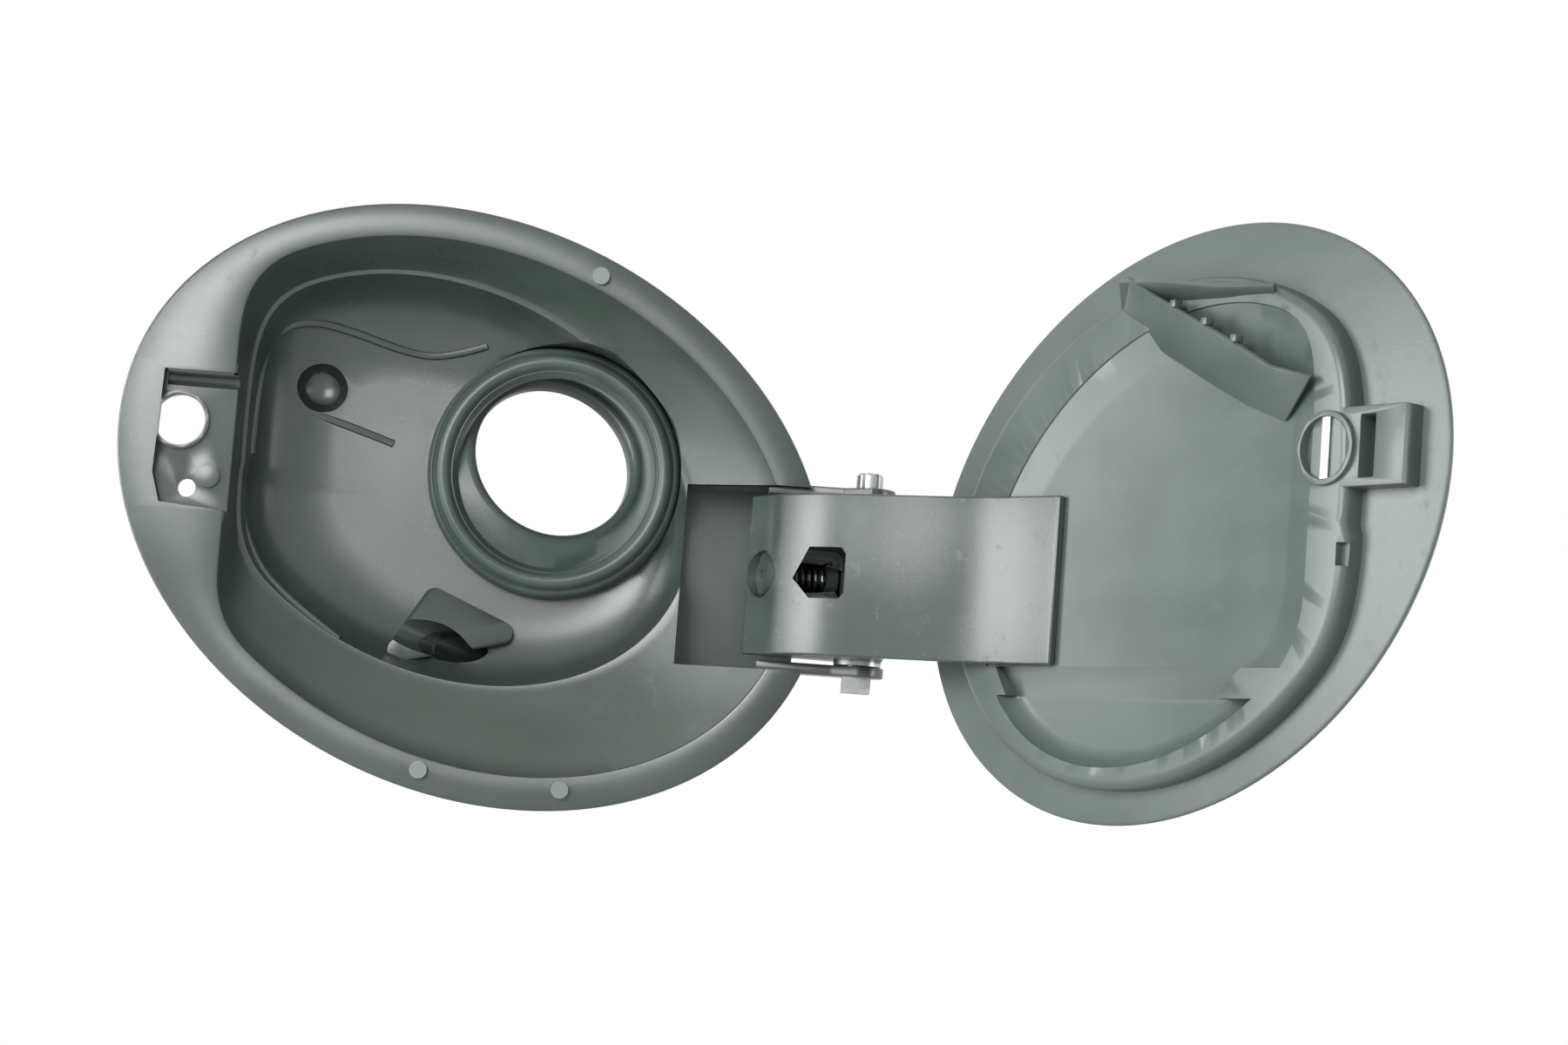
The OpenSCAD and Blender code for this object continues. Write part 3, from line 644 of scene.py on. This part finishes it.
def drain_pad():
    """Raised pad with rounded corners round the drain's mouth."""
    pad = rod("pad", 4.0, "Y", FLOOR_Y - 2, FLOOR_Y + 4, (-13, -30), 32)
    join(pad, rod("pad corner", 4.0, "Y", FLOOR_Y - 3.5, FLOOR_Y + 2.5, (11, -40), 32),
         rod("pad corner", 4.0, "Y", FLOOR_Y - 11.5, FLOOR_Y - 5.5, (-23, -49), 32))
    edit(pad)
    bpy.ops.mesh.convex_hull()
    outward(pad)
    round_edges(pad, 0.8, 3)
    return pad


# Ribs of the bowl: radius, then points along each
RIBS = [
    (1.5, [(-78.6, 25.0, 14.0), (-78.8, 26.0, 38.0), (-76.4, 31.0, 57.0), (-64.6, 33.6, 63.0),
           (-50.1, 38.4, 61.3), (-29.2, 41.8, 55.2), (-15.5, 41.8, 54.9), (-2.0, 39.4, 59.8)]),
    (1.4, [(-79.2, 24.0, -8.0), (-74.9, 23.8, -21.8), (-60.2, 22.8, -35.9), (-42.4, 20.4, -47.4)]),
    (1.6, [(-61.3, 43.0, 31.8), (-48.0, 43.2, 28.4), (-32.1, 43.2, 23.2)]),
]


def rib(radius, points):
    """Round rib along a smooth line."""
    curve = bpy.data.curves.new("rib", "CURVE")
    curve.dimensions = "3D"
    curve.bevel_depth = radius
    curve.bevel_resolution = 3
    curve.use_fill_caps = True
    line = curve.splines.new("NURBS")
    line.points.add(len(points) - 1)
    for knot, point in zip(line.points, points):
        knot.co = tuple(point) + (1.0,)
    line.order_u = 3
    line.use_endpoint_u = True
    line.resolution_u = 8
    piece = new_piece("rib", curve)
    only(piece)
    bpy.ops.object.convert(target="MESH")
    return bpy.context.object


def housing():
    """Moulded housing: flange, bowl, well, ears, latch plate, drain, dimple and ribs in one piece."""
    shell = oval_loft("housing_body", bowl_back() + bowl_front())
    cut(shell, rod("boot cut", BOOT_R + BOOT_GAP, "Y", 16.0, 60.0, BOOT, 128))
    cut(shell, well_cut())
    cut(shell, pocket_space("pocket mouth", 0.3), pocket_groove(0.3))
    spout = along_drain(tube_z("spout", DRAIN_R, SPOUT_R, -1.0, DRAIN_LEN))
    root = along_drain(tube_z("spout root", DRAIN_R, ROOT_R, -1.0, DRAIN_LEN - HOSE_LEN))
    for piece in (spout, root):
        cut(piece, bowl_space())
    pad = drain_pad()
    for piece in (shell, pad):
        cut(piece, along_drain(rod("drain bore", DRAIN_R, "Z", -20.0, 60.0, (0, 0))))
    boss = ball("dimple boss", DIMPLE_R + WALL, DIMPLE)
    cut(boss, bowl_space(), ball("dimple", DIMPLE_R, DIMPLE))
    cut(shell, ball("dimple", DIMPLE_R, DIMPLE))
    built_on = [hinge_well(), boot_socket(), ear(EAR_LOW - EAR_T), ear(EAR_HIGH), latch_plate()]
    ribs = [rib(radius, points) for radius, points in RIBS]
    join(shell, *built_on, spout, root, pad, boss, *ribs)
    nodes = ["housing_shell", "housing_flange", "latch_plate", "hinge_bracket"]
    settle(shell, "housing", nodes, housing_plastic)


def tube_z(name, inner, outer, low, high):
    """Pipe along Z from the origin."""
    pipe = rod(name, outer, "Z", low, high, (0, 0))
    cut(pipe, rod("pipe bore", inner, "Z", low - 5, high + 5, (0, 0)))
    return pipe


def ball(name, radius, centre):
    """Sphere about a centre."""
    clear()
    bpy.ops.mesh.primitive_uv_sphere_add(segments=64, ring_count=32, radius=radius, location=centre)
    piece = bpy.context.object
    piece.name = name
    bpy.ops.object.transform_apply(location=True, rotation=True, scale=True)
    return piece


# Boot


def boot():
    """Rubber boot from its bead on the seat to the leaning lip, turned so that it leans about Z."""
    lean = math.radians(NECK_LEAN)
    half = math.sqrt(0.5)
    lip = Vector((half * (-1.7 + 5.4), 11.5 + FLOOR_Y, half * (1.7 + 5.4)))
    axis = Vector((math.sin(lean), -math.cos(lean), 0))
    seat = [(44.0, 42.5), (44.0, 38.5), (43.7, 36.9), (43.0, 35.6), (42.2, 35.2), (41.7, 35.5), (41.3, 35.2),
            (40.9, 34.0), (40.0, 33.0), (38.6, 32.5), (37.2, 32.8), (36.3, 33.6), (35.9, 34.8), (35.5, 35.2),
            (35.1, 35.1), (34.5, 36.2), (33.9, 37.6), (33.3, 39.2)]
    neck = [(32.2, 3.2), (31.4, 3.4), (30.2, 3.3), (29.1, 2.9), (NECK_R, 2.1), (NECK_R, -2.4), (28.9, -2.9),
            (31.6, -3.0), (32.4, -2.0), (32.6, 0.0)]
    tail = [(36.0, 41.3), (36.6, 42.5)]
    stations = [(0, y, 0, r, r, 0) for r, y in seat]
    stations += [tuple(lip + axis * d) + (r, r, NECK_LEAN) for r, d in neck]
    stations += [(0, y, 0, r, r, 0) for r, y in tail]
    piece = rings("filler_neck_boot", stations, 128, joined=True)
    turn_piece(piece, -45.0, "Y", (0, 0, 0))
    move_piece(piece, (BOOT[0], 0, BOOT[1]))
    settle(piece, "housing", ["filler_boot", "neck_lip"], boot_rubber, 50)


# Door


def door_skin():
    """Thin oval skin with a crowned outer face."""
    levels = [(SKIN_Y, 0.0, 0.0, 10.0, 7.0, OPEN_LEFT), (SKIN_Y, 0.0, 0.0, 111.8, 85.9, OPEN_LEFT),
              (SKIN_Y - 0.3, 0.0, 0.0, 112.6, 86.7, OPEN_LEFT),
              (SKIN_Y - 1.0, 0.0, 0.0, 113.0, 87.1, OPEN_LEFT)]
    for k in (0.995, 0.98, 0.95, 0.9, 0.82, 0.72, 0.6, 0.45, 0.3, 0.12):
        levels.append((SKIN_Y - 2 - 4 * (1 - k * k), 0.0, 0.0, 113.0 * k, 87.0 * k, OPEN_LEFT))
    piece = oval_loft("door_panel_skin", levels)
    swing_open(piece)
    settle(piece, "door", ["door_skin"], door_plastic)


def panel_level(y, inset):
    """Level of the inner panel's outline, set in from its edge."""
    return (y, 0.6, -3.0, 93.0 - inset, 75.0 - inset, -79.5 + inset)


def tray_level(y, inset):
    """Level of the tray's outline, set in from its edge."""
    return (y, -5.0, -4.3, 86.0 - inset, 64.0 - inset, -65.5 + inset)


def tray_cutter(floor, slope, low, high):
    """Form of a hollow in the panel between two heights."""
    levels = [tray_level(floor, slope), tray_level(floor + 0.5, slope - 2.0),
              tray_level(floor + 1.5, slope * 0.5), tray_level(RIM_Y - 0.6, 1.0),
              tray_level(RIM_Y + 1.5, 0.0)]
    form = oval_loft("tray form", levels, 31.6)
    combine(form, block("tray part", (-150, -20, low), (150, 20, high)), "INTERSECT")
    return form


def step_wedge():
    """Space over the sloping step between the tray and the deeper pocket below it."""
    top = [(-42.0, 8.0, -43.2), (66.5, 8.0, -43.2), (60.5, 8.0, -52.6), (-31.0, 8.0, -52.6)]
    low = [(-42.0, -0.5, -43.2), (66.5, -0.5, -43.2), (60.5, -3.0, -52.6), (-31.0, -3.0, -52.6)]
    mesh = bpy.data.meshes.new("step")
    faces = [(0, 1, 2, 3), (4, 5, 6, 7), (0, 1, 5, 4), (1, 2, 6, 5), (2, 3, 7, 6), (3, 0, 4, 7)]
    mesh.from_pydata([Vector(p) for p in low + top], [], faces)
    piece = new_piece("step", mesh)
    outward(piece)
    return piece


def inner_panel():
    """Inner panel: rounded rim, sloping tray and the deeper pocket below it."""
    levels = [panel_level(SKIN_Y, 0.0), panel_level(-2.0, 0.0), panel_level(0.6, 0.2), panel_level(1.9, 0.8),
              panel_level(2.7, 1.8), panel_level(RIM_Y, 3.2), panel_level(RIM_Y, 30.0)]
    panel = oval_loft("inner_panel_tray", levels)
    cut(panel, tray_cutter(-0.5, 12.0, -43.5, 150.0))
    cut(panel, tray_cutter(-3.0, 7.0, -190.0, -52.5))
    cut(panel, step_wedge())
    cut(panel, block("rim notch", (-83.5, 0.4, -14.4), (-76.0, 6.0, -7.7)))
    round_edges(panel, 0.9, 3, 28)
    swing_open(panel)
    settle(panel, "door", ["inner_panel"], door_plastic, 40)


# Cap holder: two thin walls that meet in a point, with three teeth on the front one

TEETH = [(-10.8, 65.8), (-24.4, 59.2), (-37.0, 53.0)]


def leaning_wall(name, base, top, thickness):
    """Thin wall between a line at its foot and a line at its top edge."""
    mesh = bpy.data.meshes.new(name)
    n = len(base)
    faces = [(i, i + 1, n + i + 1, n + i) for i in range(n - 1)]
    mesh.from_pydata([Vector(p) for p in base + top], [], faces)
    piece = new_piece(name, mesh)
    solid = piece.modifiers.new("thickness", "SOLIDIFY")
    solid.thickness = thickness
    solid.offset = 0
    apply_all(piece)
    outward(piece)
    return piece


def cap_holder():
    """Two leaning walls that meet in a point at the door's upper end."""
    front = leaning_wall(
        "cap_hook",
        [(22.4, -0.5, 66.6), (20.6, -0.5, 64.5), (16.0, -0.5, 61.8), (3.8, -0.5, 54.9), (-9.0, -0.5, 48.2),
         (-22.0, -0.5, 41.4), (-35.3, -0.5, 35.0), (-51.0, -0.5, 29.1)],
        [(9.5, 9.0, 76.6), (6.0, 9.0, 73.8), (1.0, 9.0, 71.0), (-12.0, 9.0, 64.5), (-26.0, 9.0, 57.6),
         (-39.0, 8.8, 51.0), (-52.1, 8.5, 43.9), (-66.0, 6.0, 40.2)], 1.8)
    teeth = [block("tooth", (x - 1.2, 6.2, z - 1.0), (x + 1.2, 9.6, z + 1.4)) for x, z in TEETH]
    back = leaning_wall(
        "cap_hook_back",
        [(19, 1.5, 67.3), (-4, 1.5, 68.4), (-27, 1.5, 67.4), (-46, 1.5, 66.4)],
        [(13.5, 9.0, 75.4), (-5.6, 8.5, 73.6), (-27.8, 7.5, 70.3), (-47.6, 4.4, 69.2)], 1.6)
    join(front, back, *teeth)
    round_edges(front, 0.4)
    swing_open(front)
    settle(front, "door", ["cap_holder"], door_plastic, 40)


def latch_catch():
    """Ring and hook box at the door's free end."""
    ring = rod("latch_hook", RING_R, "Y", -1.0, RIM_Y + 1.5, RING)
    box = block("hook box", (-99.0, SKIN_Y, 8.0), (RING[0], 2.7, 31.0))
    fuse(ring, box)
    cut(ring, rod("ring bore", RING_BORE_R, "Y", -2.0, 9.0, RING))
    cut(ring, block("hook slot", (-88.0, -9.0, 10.5), (-82.5, 9.0, 28.5)))
    cut(ring, block("hook hollow", (-97.0, -9.0, 10.5), (-90.0, 0.0, 28.5)))
    round_edges(ring, 0.5)
    swing_open(ring)
    settle(ring, "door", ["latch_catch"], door_plastic)


# Gooseneck arm


def at_plunger(piece):
    """Turns a piece modelled along X from the pin to the plunger's direction, with the door closed."""
    move_piece(piece, (PIN[0], PIN[1], ARM_Z))
    turn_piece(piece, math.degrees(math.atan2(PLUG[1], PLUG[0])), "Z", (PIN[0], PIN[1], 0))
    return piece


def plunger_bar(name, radius, low, high):
    """Round bar along the plunger."""
    piece = rod(name, radius, "Z", low, high, (0, 0))
    turn_piece(piece, 90.0, "Y", (0, 0, 0))
    return at_plunger(piece)


def window_cutter():
    """Window over the spring, cut square to the open arm."""
    corners = [(-24.5, -1.5), (-19.7, 9.0), (-9.4, 9.0), (-7.9, 7.0), (-7.9, -6.0), (-9.4, -8.0),
               (-19.0, -8.0)]
    piece = prism("window", [(x, z + ARM_Z) for x, z in corners], "Y", -46.0, -6.0)
    turn_piece(piece, -OPEN_ANGLE, "Z", (0, 0, 0))
    move_piece(piece, (PIN[0], PIN[1], 0))
    return piece


def gooseneck():
    """Curved arm with its webs, foot, barrel and the tunnel of the plunger."""
    line = smooth_line(ARM_LINE, 8)
    outer = [p + Vector(PIN) for p in line]
    inner = beside(outer, ARM_T)
    arm = prism("gooseneck_arm", [tuple(p) for p in outer + inner[::-1]], "Z", ARM_LOW, ARM_HIGH)
    round_edges(arm, 0.8, 3, 50)
    sunk = [tuple(p + Vector((0, 0.5))) for p in inner]
    side = sunk[22:-1] + [(PIN[0] + 7.6, PIN[1] + 2), (PIN[0] - 5, PIN[1] - 6)]
    webs = [prism("web", side, "Z", z, z + WEB_T) for z in (ARM_LOW, ARM_HIGH - WEB_T)]
    foot = sunk[:12] + [(inner[11].x, -0.5), (inner[0].x, -0.5)]
    toe = prism("foot", foot, "Z", ARM_LOW + FOOT_IN, ARM_HIGH - FOOT_IN)
    barrel = rod("barrel", BARREL_R, "Z", ARM_LOW, ARM_HIGH, PIN)
    reach = math.hypot(*PLUG)
    outside = TUNNEL_R + TUNNEL_WALL
    tunnel = plunger_bar("tunnel", outside, 5.0, reach - 0.5)
    case = at_plunger(block("spring case", (5.0, -outside, -CASE_HALF), (reach - 7.0, outside, CASE_HALF)))
    cut(barrel, rod("barrel bore", BUSH_R - 1, "Z", ARM_LOW - 2, ARM_HIGH + 2, PIN))
    for z in (ARM_LOW - 1, ARM_HIGH - BUSH_LEN):
        cut(barrel, rod("bush bore", BUSH_R, "Z", z, z + BUSH_LEN + 1, PIN))
    for piece in (arm, barrel, tunnel, case):
        cut(piece, plunger_bar("tunnel bore", TUNNEL_R, 0.0, reach + 6))
    for piece in (arm, tunnel, case):
        cut(piece, plunger_bar("plug seat", BARREL_R, reach - PLUG_RIM, reach + 6))
        cut(piece, window_cutter())
    join(arm, *webs, toe, barrel, tunnel, case)
    swing_open(arm)
    settle(arm, "door", ["hinge_arm"], arm_plastic, 30)


# Finishes of the parts that keep their CAD form


def dress(node, material):
    """Gives a CAD node its material."""
    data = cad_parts[node].data
    data.materials.clear()
    data.materials.append(material)


def keep_parts():
    """Finishes of the nodes that no piece replaces."""
    for node in ("hinge_pin", "upper_bush", "lower_bush", "boot_retainer", "catch_clip"):
        dress(node, pin_steel)
    dress("detent_spring", spring_steel)
    for node in ("spring_plug", "detent_plunger"):
        dress(node, arm_plastic)
    dress("flange_seal", seal_rubber)
    for node in ("bump_stop_top", "bump_stop_bottom", "bump_stop_left"):
        dress(node, stop_rubber)


# Camera, light and stage

# Focal length in pixels of the 1800 pixel wide picture, turns in degrees, and place in the turned frame
FOCAL = 3429.031
PICTURE_W = 1800
SENSOR_W = 36.0
SWING = 4.266
NOD = -5.744
LEAN = 1.660
CAMERA_AT = (104.573, -1000.0, -6.081)


def camera():
    """Camera a little below the part, looking slightly up."""
    data = bpy.data.cameras.new("camera")
    piece = new_piece("camera", data)
    bpy.context.scene.camera = piece
    data.sensor_width = SENSOR_W
    data.lens = FOCAL / PICTURE_W * SENSOR_W
    data.clip_start = 0.05
    data.clip_end = 50.0
    swing = Matrix.Rotation(math.radians(SWING), 3, "Y")
    nod = Matrix.Rotation(math.radians(NOD), 3, "X")
    lean = Matrix.Rotation(math.radians(LEAN), 3, "Z")
    view = swing @ nod @ lean
    back = view.transposed()
    place = back @ Vector(CAMERA_AT) * MM
    across = back @ Vector((1, 0, 0))
    ahead = back @ Vector((0, 1, 0))
    up = back @ Vector((0, 0, 1))
    piece.matrix_world = Matrix.Translation(place) @ Matrix((across, up, -ahead)).transposed().to_4x4()


def lamp(name, place, target, size, power):
    """Soft box that faces a target."""
    data = bpy.data.lights.new(name, "AREA")
    data.shape = "RECTANGLE"
    data.size = size[0]
    data.size_y = size[1]
    data.energy = power
    piece = new_piece(name, data)
    piece.location = place
    piece.rotation_mode = "QUATERNION"
    piece.rotation_quaternion = (Vector(target) - Vector(place)).to_track_quat("-Z", "Y")


def stage():
    """Pale floor, and a world that is white to the camera and in reflections, and soft elsewhere."""
    clear()
    bpy.ops.mesh.primitive_circle_add(vertices=96, radius=1.15, fill_type="NGON", location=(0.06, 0, -0.35))
    floor = bpy.context.object
    floor.name = "floor"
    paint = Paint("pale floor")
    paint.feed(Base_Color=(0.85, 0.86, 0.86, 1), Roughness=0.9)
    floor.data.materials.append(paint.material)
    world = bpy.data.worlds.new("studio")
    bpy.context.scene.world = world
    world.use_nodes = True
    tree = world.node_tree
    nodes = tree.nodes
    nodes.clear()
    out = nodes.new("ShaderNodeOutputWorld")
    path = nodes.new("ShaderNodeLightPath")
    white = nodes.new("ShaderNodeBackground")
    white.inputs["Color"].default_value = (1, 1, 1, 1)
    white.inputs["Strength"].default_value = 1.0
    soft = nodes.new("ShaderNodeBackground")
    soft.inputs["Color"].default_value = (0.9, 0.95, 0.94, 1)
    soft.inputs["Strength"].default_value = 0.2
    mix = nodes.new("ShaderNodeMixShader")
    first = nodes.new("ShaderNodeMath")
    first.operation = "MAXIMUM"
    most = nodes.new("ShaderNodeMath")
    most.operation = "MAXIMUM"
    tree.links.new(path.outputs["Is Camera Ray"], first.inputs[0])
    tree.links.new(path.outputs["Is Glossy Ray"], first.inputs[1])
    tree.links.new(first.outputs[0], most.inputs[0])
    tree.links.new(path.outputs["Is Transmission Ray"], most.inputs[1])
    tree.links.new(most.outputs[0], mix.inputs[0])
    tree.links.new(soft.outputs[0], mix.inputs[1])
    tree.links.new(white.outputs[0], mix.inputs[2])
    tree.links.new(mix.outputs[0], out.inputs["Surface"])


def lights():
    """Key light from the upper left, and a softer one from each side."""
    lamp("key soft box", (-0.5, -1.2, 0.37), (-0.02, 0, 0), (0.75, 0.6), 15)
    lamp("left soft box", (-1.15, -0.4, 0.1), (0.1, -0.05, 0), (0.6, 0.9), 13)
    lamp("right soft box", (1.2, -0.45, 0.0), (0.1, -0.05, 0), (0.4, 0.8), 8)


camera()
housing()
boot()
door_skin()
inner_panel()
cap_holder()
latch_catch()
gooseneck()
keep_parts()
stage()
lights()
bpy.context.scene.view_settings.view_transform = "Standard"
